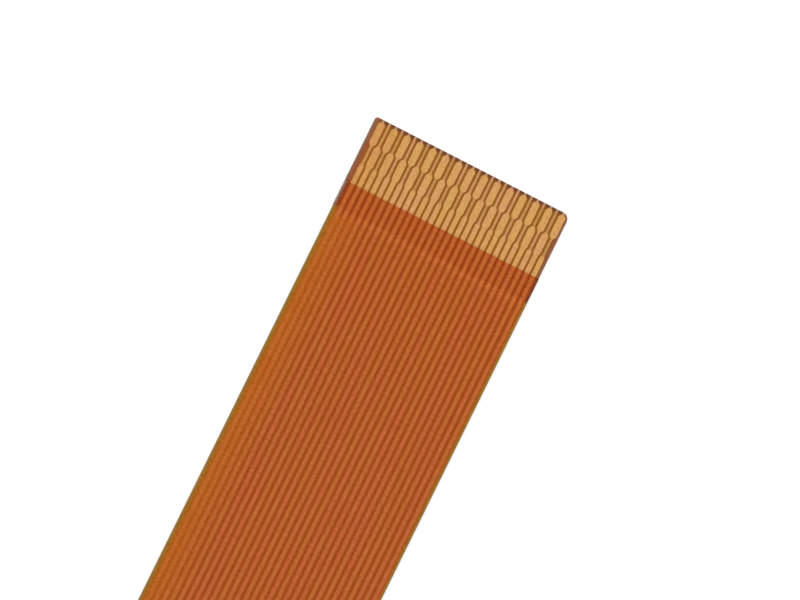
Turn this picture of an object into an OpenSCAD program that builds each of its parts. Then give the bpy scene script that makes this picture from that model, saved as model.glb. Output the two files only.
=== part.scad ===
// Flat flex cable: a flexible printed jumper with a row of bare contacts at each end.
// It lies flat with its contacts up. X runs across the conductors, Y along the cable and Z up.
// The origin is under the middle of the cable, on the surface that the stiffeners lie on.

/* [Cable] */
// Length of the cable from tip to tip
cable_l = 60; // [20:1:300]
// Number of conductors side by side
conductors = 29; // [5:1:51]
// Distance from one conductor's middle to the next
pitch = 0.3; // [0.25:0.01:0.5]
// Radius of the left corner of each tip
left_corner_r = 0.1; // [0.05:0.01:0.4]
// Radius of the right corner of each tip
right_corner_r = 0.29; // [0.05:0.01:0.4]

/* [Copper pattern] */
// Bare gap etched between neighbouring conductors
gap_w = 0.1; // [0.05:0.01:0.14]
// Width of the narrow leads that pass between the pads
lead_w = 0.1; // [0.05:0.01:0.14]
// How far the pattern sits to the right of the film's middle
pattern_shift = 0.04; // [-0.08:0.01:0.08]

/* [Contact end] */
// Narrow lead between the tip and the first row of pads
tip_lead_l = 0.08; // [0.01:0.01:0.5]
// Length over which a pad of the first row narrows to its lead at the tip
tip_shoulder_l = 0.15; // [0.05:0.01:0.5]
// Full width part of a pad in the first row
pad_1_l = 0.81; // [0.2:0.01:2]
// Full width part of a pad in the second row
pad_2_l = 0.7; // [0.2:0.01:2]
// Length over which a conductor changes its width further in
shoulder_l = 0.19; // [0.05:0.01:0.5]
// Bare plain trace between the second row of pads and the coverlay
bare_trace_l = 0.79; // [0.1:0.01:3]
// How far the stiffener reaches in under the coverlay
stiffener_overlap = 1.1; // [0.3:0.1:4]

/* [Layers] */
// Thickness of the contact end, as its socket wants it
end_t = 0.2; // [0.15:0.01:0.35]
// Thickness of the base film
base_t = 0.045; // [0.02:0.005:0.06]
// Thickness of the copper
copper_t = 0.03; // [0.01:0.005:0.05]
// Thickness of the coverlay over a conductor
cover_t = 0.04; // [0.02:0.005:0.08]
// How far the coverlay sinks between two conductors
cover_dip = 0.008; // [0.001:0.001:0.015]

/* [Hidden] */
// Straight pieces that round off one shoulder of a conductor
shoulder_steps = 4;
// Straight pieces in one wave of the coverlay's top
wave_steps = 8;
// How far a cutting shape reaches past what it cuts
overcut = 1;
$fn = 48;

// The film is as wide as one more conductor would need, half of it on each side.
cable_w = (conductors + 1) * pitch;
trace_w = pitch - gap_w;
// A pad, a lead and two gaps fill the room of two conductors.
pad_w = 2 * pitch - lead_w - 2 * gap_w;

// Distances from the tip. Where the first row narrows, the second row widens.
row_1_s = tip_lead_l;
swap_s = row_1_s + tip_shoulder_l + pad_1_l;
row_2_end_s = swap_s + shoulder_l + pad_2_l;
window_l = row_2_end_s + shoulder_l + bare_trace_l;
stiffener_l = window_l + stiffener_overlap;

// Heights. The stiffener brings the bare end up to the thickness that its socket wants.
stiffener_t = end_t - base_t - copper_t;
base_top = stiffener_t + base_t;
copper_top = base_top + copper_t;
cover_top = copper_top + cover_t;

function conductor_name(i) = str("conductor_", i < 10 ? "0" : "", i);
function conductor_x(i) = (i - (conductors + 1) / 2) * pitch + pattern_shift;
function is_first_row(i) = i % 2 == 1;

// A soft step from a to b as t goes from 0 to 1.
function soft_step(a, b, t) = a + (b - a) * t * t * (3 - 2 * t);
// Points [distance from the tip, half width] of a shoulder of length l from width a to width b.
function shoulder(s, a, b, l = shoulder_l) = [
  for (k = [0:shoulder_steps])
    [s + l * k / shoulder_steps, soft_step(a, b, k / shoulder_steps) / 2]
];
function contact_profile(first_row) = concat(
  [[-overcut, lead_w / 2]],
  first_row ? shoulder(row_1_s, lead_w, pad_w, tip_shoulder_l) : [],
  first_row ? shoulder(swap_s, pad_w, lead_w) : shoulder(swap_s, lead_w, pad_w),
  shoulder(row_2_end_s, first_row ? lead_w : pad_w, trace_w)
);
function reversed(list) = [for (k = [len(list) - 1:-1:0]) list[k]];
function flipped_x(points) = [for (p = reversed(points)) [-p.x, p.y]];
function flipped_y(points) = [for (p = reversed(points)) [p.x, -p.y]];

// The right edge of a conductor with its middle on X = 0, from one tip to the other.
function right_edge(profile) =
  let (half = [for (p = profile) [p[1], cable_l / 2 - p[0]]])
  concat(half, flipped_y(half));

// What a rounded corner leaves off, with the middle of its arc at the origin.
module corner_waste(r) {
  difference() {
    square(r + overcut);
    circle(r);
  }
}

module at_both_tips() {
  children();
  mirror([0, 1]) children();
}

// The outline that the die cuts through all the layers at once.
module film_outline() {
  difference() {
    square([cable_w, cable_l], center = true);
    at_both_tips() {
      translate([cable_w / 2 - right_corner_r, cable_l / 2 - right_corner_r])
        corner_waste(right_corner_r);
      mirror([1, 0])
        translate([cable_w / 2 - left_corner_r, cable_l / 2 - left_corner_r])
          corner_waste(left_corner_r);
    }
  }
}

module base_film() {
  color([0.6, 0.38, 0.16])
    translate([0, 0, stiffener_t])
      linear_extrude(base_t)
        film_outline();
}

// One etched conductor, from tip to tip. The die cuts its leads with the film.
module conductor(i) {
  edge = right_edge(contact_profile(is_first_row(i)));
  color([0.84, 0.62, 0.37])
    translate([0, 0, base_top])
      linear_extrude(copper_t)
        intersection() {
          film_outline();
          translate([conductor_x(i), 0])
            polygon(concat(edge, flipped_x(edge)));
        }
}

// Height of the coverlay's top: a crest over each conductor and a shallow dip between two.
function cover_wave(x) =
  cover_top - cover_dip * (1 - cos(360 * (x - conductor_x(1)) / pitch)) / 2;

// Section of the coverlay, with X across the cable and Y up. Its underside fits the traces.
module cover_section() {
  wave_from = conductor_x(1) - pitch / 2;
  wave_x = [for (k = [0:conductors * wave_steps]) wave_from + k * pitch / wave_steps];
  underside = [
    for (i = [1:conductors])
      let (left = conductor_x(i) - trace_w / 2, right = left + trace_w)
      each [[left, base_top], [left, copper_top], [right, copper_top], [right, base_top]]
  ];
  dip_top = cover_top - cover_dip;
  polygon(concat(
    [[-cable_w / 2, dip_top], [-cable_w / 2, base_top]],
    underside,
    [[cable_w / 2, base_top], [cable_w / 2, dip_top]],
    [for (x = reversed(wave_x)) [x, cover_wave(x)]]
  ));
}

module coverlay() {
  cover_l = cable_l - 2 * window_l;
  color([0.75, 0.4, 0.18])
    translate([0, cover_l / 2, 0])
      rotate([90, 0, 0])
        linear_extrude(cover_l)
          cover_section();
}

// The plate under the contacts of the end at +Y.
module stiffener_a() {
  color([0.58, 0.31, 0.17])
    linear_extrude(stiffener_t)
      intersection() {
        film_outline();
        translate([-cable_w / 2 - overcut, cable_l / 2 - stiffener_l])
          square([cable_w + 2 * overcut, stiffener_l + overcut]);
      }
}

module stiffener_b() {
  mirror([0, 1, 0]) stiffener_a();
}

base_film();
coverlay();
stiffener_a();
stiffener_b();
for (i = [1:conductors])
  conductor(i);
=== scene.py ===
"""Flat flex cable: finishes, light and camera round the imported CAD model. All lengths are in metres."""

import math

import bpy
from mathutils import Matrix, Vector


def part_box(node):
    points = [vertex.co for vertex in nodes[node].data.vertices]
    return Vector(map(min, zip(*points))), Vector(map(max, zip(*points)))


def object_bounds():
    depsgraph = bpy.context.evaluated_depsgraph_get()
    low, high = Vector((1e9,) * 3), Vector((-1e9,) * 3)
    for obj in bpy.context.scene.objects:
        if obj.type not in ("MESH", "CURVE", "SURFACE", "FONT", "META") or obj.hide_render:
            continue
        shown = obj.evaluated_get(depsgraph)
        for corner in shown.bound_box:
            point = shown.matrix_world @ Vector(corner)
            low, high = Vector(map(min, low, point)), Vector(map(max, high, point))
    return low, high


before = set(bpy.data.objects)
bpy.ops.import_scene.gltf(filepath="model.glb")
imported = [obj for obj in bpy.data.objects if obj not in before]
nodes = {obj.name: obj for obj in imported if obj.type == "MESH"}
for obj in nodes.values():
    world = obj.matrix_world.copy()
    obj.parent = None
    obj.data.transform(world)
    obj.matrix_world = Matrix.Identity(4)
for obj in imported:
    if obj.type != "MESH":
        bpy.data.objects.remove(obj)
cad_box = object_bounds()

MM = 0.001

# Places on the cable, read from the frame. s is the distance from the nearer tip, in millimetres.
conductors = [nodes[name] for name in sorted(nodes) if name.startswith("conductor_")]
film_low, film_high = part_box("base_film")
cover_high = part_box("coverlay")[1]
stiffener_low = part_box("stiffener_a")[0]
first_low, first_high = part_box(conductors[0].name)
last_low, last_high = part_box(conductors[-1].name)
tip_y = film_high.y
half_width_mm = film_high.x / MM
window_mm = (tip_y - cover_high.y) / MM
stiffener_mm = (tip_y - stiffener_low.y) / MM
first_x = (first_low.x + first_high.x) / 2
last_x = (last_low.x + last_high.x) / 2
pitch_mm = (last_x - first_x) / (len(conductors) - 1) / MM
pad_mm = (first_high.x - first_low.x) / MM

# The etched pattern, which shows through the films from above and below.
LEAD_MM = 0.10
GAP_MM = 0.10
TIP_LEAD_MM = 0.08
TIP_SHOULDER_MM = 0.15
SHOULDER_MM = 0.19
PAD_1_MM = 0.81
PAD_2_MM = 0.7
swap_mm = TIP_LEAD_MM + TIP_SHOULDER_MM + PAD_1_MM
row_2_end_mm = swap_mm + SHOULDER_MM + PAD_2_MM
trace_mm = pitch_mm - GAP_MM


def srgb(red, green, blue):
    """A colour given as it shows on a screen, 0 to 255, as the linear colour that a shader takes."""
    shares = [c / 255 for c in (red, green, blue)]
    linear = [c / 12.92 if c <= 0.04045 else ((c + 0.055) / 1.055) ** 2.4 for c in shares]
    return (*linear, 1.0)


# Camera, stage and light


def make_camera():
    """Looks down on one end of the cable through a long lens, leaning a little to its own left."""
    turn = math.radians(26.64)
    lean = math.radians(10.91)
    aim_x_mm = -0.274
    aim_from_tip_mm = 6.254
    aim = Vector((aim_x_mm * MM, tip_y - aim_from_tip_mm * MM, film_high.z))
    seen_width = 32.634 * MM
    distance = 0.6
    up = Vector((-math.sin(turn), math.cos(turn), 0))
    flat_right = Vector((math.cos(turn), math.sin(turn), 0))
    back = Vector((0, 0, math.cos(lean))) - flat_right * math.sin(lean)
    right = up.cross(back)
    data = bpy.data.cameras.new("camera")
    data.lens = data.sensor_width * distance / seen_width
    data.clip_start = 0.01
    data.clip_end = 10
    camera = bpy.data.objects.new("camera", data)
    turned = Matrix((right, up, back)).transposed().to_4x4()
    camera.matrix_world = Matrix.Translation(aim + back * distance) @ turned
    bpy.context.scene.collection.objects.link(camera)
    bpy.context.scene.camera = camera


make_camera()


# Shader building

# The part of a noise's range that is used, so that its ends are reached now and then.
NOISE_WIDE = (0.3, 0.7)
NOISE_MIDDLE = (0.35, 0.65)
# How far up or down a surface has to face to be a film's face and not its cut edge.
FACING = (0.4, 0.6)
# Half the width over which a tint of the left half passes into that of the right half.
HALF_FADE_MM = 0.1
# Half the width over which the dark of the stiffener ends.
STIFFENER_FADE_MM = 0.12


class Field:
    """A number that varies over a surface. Arithmetic on it adds nodes."""

    def __init__(self, tree, socket):
        self.tree, self.socket = tree, socket

    def math(self, operation, *others):
        node = self.tree.nodes.new("ShaderNodeMath")
        node.operation = operation
        for slot, value in zip(node.inputs, (self, *others)):
            if isinstance(value, Field):
                self.tree.links.new(value.socket, slot)
            else:
                slot.default_value = value
        return Field(self.tree, node.outputs[0])

    def __add__(self, other):
        return self.math("ADD", other)

    def __sub__(self, other):
        return self.math("SUBTRACT", other)

    def __mul__(self, other):
        return self.math("MULTIPLY", other)

    def __truediv__(self, other):
        return self.math("DIVIDE", other)

    def size(self):
        return self.math("ABSOLUTE")

    def rise(self, low, high, to_low=0.0, to_high=1.0):
        """Goes smoothly from to_low, where this is low or less, to to_high, where it is high or more."""
        node = self.tree.nodes.new("ShaderNodeMapRange")
        node.interpolation_type = "SMOOTHSTEP"
        self.tree.links.new(self.socket, node.inputs["Value"])
        values = {"From Min": low, "From Max": high, "To Min": to_low, "To Max": to_high}
        for name, value in values.items():
            if isinstance(value, Field):
                self.tree.links.new(value.socket, node.inputs[name])
            else:
                node.inputs[name].default_value = value
        return Field(self.tree, node.outputs["Result"])


class Finish:
    """A material under way, with the surface's own places in millimetres."""

    def __init__(self, name):
        self.material = bpy.data.materials.new(name)
        self.material.use_nodes = True
        self.tree = self.material.node_tree
        self.shader = self.tree.nodes["Principled BSDF"]
        place = self.tree.nodes.new("ShaderNodeTexCoord").outputs["Object"]
        scaled = self.tree.nodes.new("ShaderNodeVectorMath")
        scaled.operation = "SCALE"
        scaled.inputs["Scale"].default_value = 1 / MM
        self.tree.links.new(place, scaled.inputs[0])
        self.place = scaled.outputs["Vector"]
        self.x, y, _ = self.parts(self.place)
        self.s = (y.size() * -1) + tip_y / MM
        normal = self.tree.nodes.new("ShaderNodeNewGeometry").outputs["True Normal"]
        self.normal_z = self.parts(normal)[2]

    def parts(self, vector):
        node = self.tree.nodes.new("ShaderNodeSeparateXYZ")
        self.tree.links.new(vector, node.inputs[0])
        return [Field(self.tree, out) for out in node.outputs]

    def stretched(self, x, y, z=1.0):
        """The place with each direction scaled, for noise that is longer one way."""
        node = self.tree.nodes.new("ShaderNodeVectorMath")
        node.operation = "MULTIPLY"
        node.inputs[1].default_value = (x, y, z)
        self.tree.links.new(self.place, node.inputs[0])
        return node.outputs["Vector"]

    def noise(self, vector, scale, detail=2.0):
        """Noise from about 0.25 to 0.75, with scale in waves for each millimetre."""
        node = self.tree.nodes.new("ShaderNodeTexNoise")
        node.inputs["Scale"].default_value = scale
        node.inputs["Detail"].default_value = detail
        self.tree.links.new(vector, node.inputs["Vector"])
        return Field(self.tree, node.outputs[0])

    def mix(self, share, low, high):
        """The colour low where share is 0 and high where it is 1. Each is a colour or a socket."""
        node = self.tree.nodes.new("ShaderNodeMix")
        node.data_type = "RGBA"
        sockets = {s.identifier: s for s in node.inputs}
        self.tree.links.new(share.socket, sockets["Factor_Float"])
        for name, colour in (("A_Color", low), ("B_Color", high)):
            if isinstance(colour, tuple):
                sockets[name].default_value = colour
            else:
                self.tree.links.new(colour, sockets[name])
        return next(s for s in node.outputs if s.identifier == "Result_Color")

    def brightness(self, colour, factor):
        """The colour times a Field."""
        node = self.tree.nodes.new("ShaderNodeVectorMath")
        node.operation = "SCALE"
        self.tree.links.new(colour, node.inputs[0])
        self.tree.links.new(factor.socket, node.inputs["Scale"])
        return node.outputs["Vector"]

    def colour(self, colour):
        self.tree.links.new(colour, self.shader.inputs["Base Color"])

    def roughness(self, field):
        self.tree.links.new(field.socket, self.shader.inputs["Roughness"])

    def bump(self, height, distance_mm, strength=1.0):
        node = self.tree.nodes.new("ShaderNodeBump")
        node.inputs["Strength"].default_value = strength
        node.inputs["Distance"].default_value = distance_mm * MM
        self.tree.links.new(height.socket, node.inputs["Height"])
        self.tree.links.new(node.outputs["Normal"], self.shader.inputs["Normal"])

    def set(self, **sockets):
        for name, value in sockets.items():
            self.shader.inputs[name.replace("_", " ")].default_value = value

    def facing_up(self):
        """1 on a top face, and 0 on a cut edge or an underside."""
        return self.normal_z.rise(*FACING)

    def facing_down(self):
        """1 on an underside, and 0 on a cut edge or a top face."""
        return (self.normal_z * -1).rise(*FACING)

    def on_right(self):
        """0 on the left half of the cable and 1 on the right half."""
        return self.x.rise(-HALF_FADE_MM, HALF_FADE_MM)

    def conductor_index(self):
        """The number of the nearest conductor, counted from 0."""
        along = (self.x - first_x / MM) / pitch_mm
        return along.math("ROUND").math("MAXIMUM", 0).math("MINIMUM", len(conductors) - 1)

    def from_conductor(self):
        """Distance from the middle line of the nearest conductor."""
        return (self.x - first_x / MM - self.conductor_index() * pitch_mm).size()

    def copper_width(self):
        """How wide the nearest conductor is here. Odd ones have the row of pads nearer to the tip."""
        first = self.s.rise(TIP_LEAD_MM, TIP_LEAD_MM + TIP_SHOULDER_MM)
        swap = self.s.rise(swap_mm, swap_mm + SHOULDER_MM)
        plain = self.s.rise(row_2_end_mm, row_2_end_mm + SHOULDER_MM)
        odd = (first - swap) * (pad_mm - LEAD_MM) + plain * (trace_mm - LEAD_MM) + LEAD_MM
        even = swap * (pad_mm - LEAD_MM) + plain * (trace_mm - pad_mm) + LEAD_MM
        return odd + (even - odd) * self.conductor_index().math("MODULO", 2)

    def copper_behind(self, soft_mm, inset_mm=0.0):
        """1 over the etched copper and 0 beside it. The edge between is soft_mm wide, with its middle
        inset_mm inside the copper's own edge."""
        out = self.from_conductor() - self.copper_width() / 2 + inset_mm
        return (out / soft_mm).rise(-0.5, 0.5, 1.0, 0.0)

    def from_side(self):
        """Distance from the nearer side of the cable."""
        return (self.x.size() * -1) + half_width_mm

    def past_pattern(self):
        """Distance outward from the middle line of the outermost conductor."""
        return (self.x - (first_x + last_x) / 2 / MM).size() - (last_x - first_x) / 2 / MM

    def over_stiffener(self):
        """1 where the stiffener lies behind and 0 beyond it."""
        return self.s.rise(stiffener_mm - STIFFENER_FADE_MM, stiffener_mm + STIFFENER_FADE_MM, 1.0, 0.0)


# Finishes


def gold_finish():
    """Satin gold plating on the bare contacts, and bare copper under the coverlay."""
    f = Finish("gold_contacts")
    pad_yellow = srgb(230, 172, 94)
    pad_pink = srgb(232, 168, 106)
    lead_yellow = srgb(207, 148, 82)
    lead_pink = srgb(221, 160, 108)
    left_gold = srgb(222, 154, 78)
    tip_gold = srgb(198, 155, 131)
    copper = srgb(196, 112, 72)

    pinker = f.noise(f.stretched(1 / pitch_mm, 0.7), 0.9, 1.0).rise(*NOISE_MIDDLE)
    pad = f.mix(pinker, pad_yellow, pad_pink)
    lead = f.mix(pinker, lead_yellow, lead_pink)
    gold = f.mix(f.copper_width().rise(LEAD_MM, trace_mm), lead, pad)
    gold = f.mix(f.x.rise(-4.4, -2.4, 0.6, 0.0), gold, left_gold)
    gold = f.mix(f.s.rise(0.02, 0.2, 0.85, 0.0), gold, tip_gold)
    grain = f.noise(f.place, 11, 3)
    gold = f.brightness(gold, grain.rise(*NOISE_WIDE, 0.93, 1.07))
    f.colour(f.mix(f.s.rise(window_mm, window_mm + 0.1), gold, copper))
    f.roughness(grain.rise(*NOISE_WIDE, 0.34, 0.46))
    f.bump(grain, 0.003, 0.4)
    f.set(Metallic=0.4)
    return f.material


def film_edge(f):
    """The cut edge of the layered films: olive beyond the stiffener; over it, a painted lit grey on the
    left half and painted shade, dark brown, on the right half.
    """
    # Painted light: a lit grey for the left cut edge over the stiffener; painted shade: a dark brown for
    # the right one.
    lit_side_grey = srgb(142, 110, 88)
    shaded_side_brown = srgb(110, 62, 36)
    olive = srgb(150, 114, 50)
    return f.mix(f.over_stiffener(), olive, f.mix(f.on_right(), lit_side_grey, shaded_side_brown))


def base_film_finish():
    """Amber film: bare between the contacts, with the traces showing through from below."""
    f = Finish("base_film")
    shaded_tip_gap = srgb(112, 66, 38)
    amber_gap = srgb(157, 97, 21)
    margin_left = srgb(155, 83, 46)
    margin_right = srgb(143, 79, 46)
    margin_tip = srgb(150, 93, 54)
    margin_edge = srgb(142, 96, 70)
    below_gap = srgb(165, 84, 24)
    below_trace = srgb(190, 106, 50)

    # Painted shade: the bare film between the leads darkens towards the tip edge.
    gap = f.mix(f.s.rise(0.02, 0.3), shaded_tip_gap, amber_gap)
    redder = f.mix(f.on_right(), margin_left, margin_right)
    inner = f.mix(f.s.rise(swap_mm - 0.1, swap_mm + 0.1), margin_tip, redder)
    margin = f.mix(f.from_side().rise(0.05, 0.13), margin_edge, inner)
    top = f.mix(f.past_pattern().rise(0.08, 0.14), gap, margin)
    below = f.mix(f.copper_behind(0.05), below_gap, below_trace)
    colour = f.mix(f.facing_up(), film_edge(f), top)
    colour = f.mix(f.facing_down(), colour, below)
    mottle = f.noise(f.place, 6, 3)
    f.colour(f.brightness(colour, mottle.rise(*NOISE_WIDE, 0.94, 1.05)))
    f.roughness(mottle.rise(*NOISE_WIDE, 0.3, 0.42))
    f.set(Specular_IOR_Level=0.18)
    return f.material


def cover_trace(f, far, left, highlight_band):
    """The coverlay's colour over a conductor."""
    tone = f.noise(f.stretched(1 / pitch_mm, 0.3), 0.8, 2)
    redder = f.mix(far, srgb(195, 98, 47), srgb(193, 96, 51))
    yellower = f.mix(far, srgb(192, 105, 40), srgb(190, 103, 44))
    trace = f.mix(tone.rise(*NOISE_MIDDLE), redder, yellower)
    trace = f.mix(left, trace, srgb(191, 101, 34))
    # Painted highlight: lighter traces in the band just past the stiffener's end.
    trace = f.mix(highlight_band, trace, srgb(205, 111, 50))
    trace = f.mix(f.over_stiffener(), trace, srgb(194, 99, 40))
    streaks = f.noise(f.stretched(3.3, 0.8), 1.0, 3)
    return f.mix(streaks.rise(*NOISE_MIDDLE, 0.0, 0.18), trace, srgb(206, 122, 70))


def cover_gap(f, far, left, highlight_band):
    """The coverlay's colour between two conductors."""
    gap = f.mix(far, srgb(154, 60, 0), srgb(155, 65, 4))
    gap = f.mix(left, gap, srgb(176, 85, 4))
    # The gaps inside the painted highlight band past the stiffener's end.
    gap = f.mix(highlight_band, gap, srgb(153, 56, 0))
    return f.mix(f.over_stiffener(), gap, srgb(144, 48, 0))


def coverlay_finish():
    """Orange film with the traces under it, darker where the stiffener lies behind, and a painted
    highlight band just past the stiffener's end.
    """
    f = Finish("coverlay")
    # Painted highlight: a band just past the stiffener's end where the traces show lighter.
    highlight_band = f.s.rise(stiffener_mm + 0.12, stiffener_mm + 0.42, 1.0, 0.0)
    far = f.s.rise(stiffener_mm, stiffener_mm + 9)
    left = f.x.rise(-4.3, -2.6, 1.0, 0.0)
    trace = cover_trace(f, far, left, highlight_band)
    gap = cover_gap(f, far, left, highlight_band)
    colour = f.mix(f.copper_behind(0.16, 0.01), gap, trace)
    margin = f.mix(f.over_stiffener(), srgb(166, 100, 24), srgb(142, 62, 26))
    # Near each side the top face takes the cut edge's colour, which over the stiffener is painted lit on
    # the left and painted shade on the right.
    margin = f.mix(f.from_side().rise(0.03, 0.12, 1.0, 0.0), margin, film_edge(f))
    colour = f.mix(f.past_pattern().rise(0.1, 0.17), colour, margin)
    colour = f.mix(f.facing_up(), film_edge(f), colour)
    grain = f.noise(f.place, 8, 2)
    f.colour(f.brightness(colour, grain.rise(*NOISE_WIDE, 0.89, 1.08)))
    f.roughness(grain.rise(*NOISE_WIDE, 0.22, 0.32))
    f.set(Specular_IOR_Level=0.18)
    return f.material


def stiffener_finish():
    """Thick dark amber plate, with the contacts faintly behind it."""
    f = Finish("stiffener")
    cut_edge = srgb(132, 102, 80)
    face = f.mix(f.copper_behind(0.16), srgb(120, 58, 24), srgb(140, 72, 34))
    colour = f.mix(f.facing_down(), cut_edge, face)
    mottle = f.noise(f.place, 4, 4)
    f.colour(f.brightness(colour, mottle.rise(*NOISE_WIDE, 0.93, 1.06)))
    f.roughness(mottle.rise(*NOISE_WIDE, 0.34, 0.5))
    f.set(Specular_IOR_Level=0.25)
    return f.material


def dress(obj, material):
    obj.data.materials.clear()
    obj.data.materials.append(material)


gold = gold_finish()
stiff = stiffener_finish()
for obj in conductors:
    dress(obj, gold)
dress(nodes["base_film"], base_film_finish())
dress(nodes["coverlay"], coverlay_finish())
dress(nodes["stiffener_a"], stiff)
dress(nodes["stiffener_b"], stiff)


# Floor, world and lamps

OVERHEAD = 0.22
HORIZON_BAND = (0.04, 0.4)
FLOOR_SHADE = 0.8
FLOOR_LIFT = 0.45
FLOOR_DROP = 0.01 * MM
LAMP_DISTANCE = 0.5


def bright_for(tree, sent, seen):
    """seen for rays from the camera, and those mirrored or let through, and sent for the others."""
    path = tree.nodes.new("ShaderNodeLightPath")
    mirrored = Field(tree, path.outputs["Is Glossy Ray"])
    through = Field(tree, path.outputs["Is Transmission Ray"])
    direct = Field(tree, path.outputs["Is Camera Ray"])
    share = direct.math("MAXIMUM", mirrored).math("MAXIMUM", through)
    mix = tree.nodes.new("ShaderNodeMixShader")
    tree.links.new(share.socket, mix.inputs[0])
    tree.links.new(sent, mix.inputs[1])
    tree.links.new(seen, mix.inputs[2])
    return mix.outputs[0]


def make_floor():
    """A large pale floor that shows white, with the soft shadow of what lies on it."""
    half = 1.5
    mesh = bpy.data.meshes.new("floor")
    z = cad_box[0].z - FLOOR_DROP
    corners = [(-half, -half, z), (half, -half, z), (half, half, z), (-half, half, z)]
    mesh.from_pydata(corners, [], [(0, 1, 2, 3)])
    floor = bpy.data.objects.new("floor", mesh)
    bpy.context.scene.collection.objects.link(floor)
    material = bpy.data.materials.new("floor")
    material.use_nodes = True
    tree = material.node_tree
    tree.nodes.clear()
    pale = tree.nodes.new("ShaderNodeBsdfDiffuse")
    pale.inputs["Color"].default_value = (FLOOR_SHADE, FLOOR_SHADE, FLOOR_SHADE, 1)
    lift = tree.nodes.new("ShaderNodeEmission")
    lift.inputs["Strength"].default_value = FLOOR_LIFT
    both = tree.nodes.new("ShaderNodeAddShader")
    tree.links.new(pale.outputs[0], both.inputs[0])
    tree.links.new(lift.outputs[0], both.inputs[1])
    out = tree.nodes.new("ShaderNodeOutputMaterial")
    tree.links.new(bright_for(tree, pale.outputs[0], both.outputs[0]), out.inputs["Surface"])
    mesh.materials.append(material)


def make_world():
    """A pale dome: white at the horizon and dimmer overhead, so that the glossy film keeps its colour."""
    world = bpy.data.worlds.new("studio")
    bpy.context.scene.world = world
    world.use_nodes = True
    tree = world.node_tree
    direction = tree.nodes.new("ShaderNodeTexCoord").outputs["Generated"]
    parts = tree.nodes.new("ShaderNodeSeparateXYZ")
    tree.links.new(direction, parts.inputs[0])
    height = Field(tree, parts.outputs["Z"]).size()
    strength = height.rise(*HORIZON_BAND, 1.0, OVERHEAD)
    background = tree.nodes["Background"]
    background.inputs["Color"].default_value = (1, 1, 1, 1)
    tree.links.new(strength.socket, background.inputs["Strength"])


def make_lamp(name, azimuth, elevation, width, power):
    """A square soft lamp that faces the cable's middle."""
    data = bpy.data.lights.new(name, "AREA")
    data.size = width
    data.energy = power
    lamp = bpy.data.objects.new(name, data)
    a = math.radians(azimuth)
    e = math.radians(elevation)
    back = Vector((math.cos(a) * math.cos(e), math.sin(a) * math.cos(e), math.sin(e)))
    lamp.location = back * LAMP_DISTANCE
    lamp.rotation_euler = back.to_track_quat("Z", "Y").to_euler()
    bpy.context.scene.collection.objects.link(lamp)


make_floor()
make_world()
make_lamp("key_lamp", 130, 50, 0.35, 1.78)
make_lamp("fill_lamp", -40, 45, 0.45, 1.05)

scene = bpy.context.scene
scene.view_settings.view_transform = "Standard"
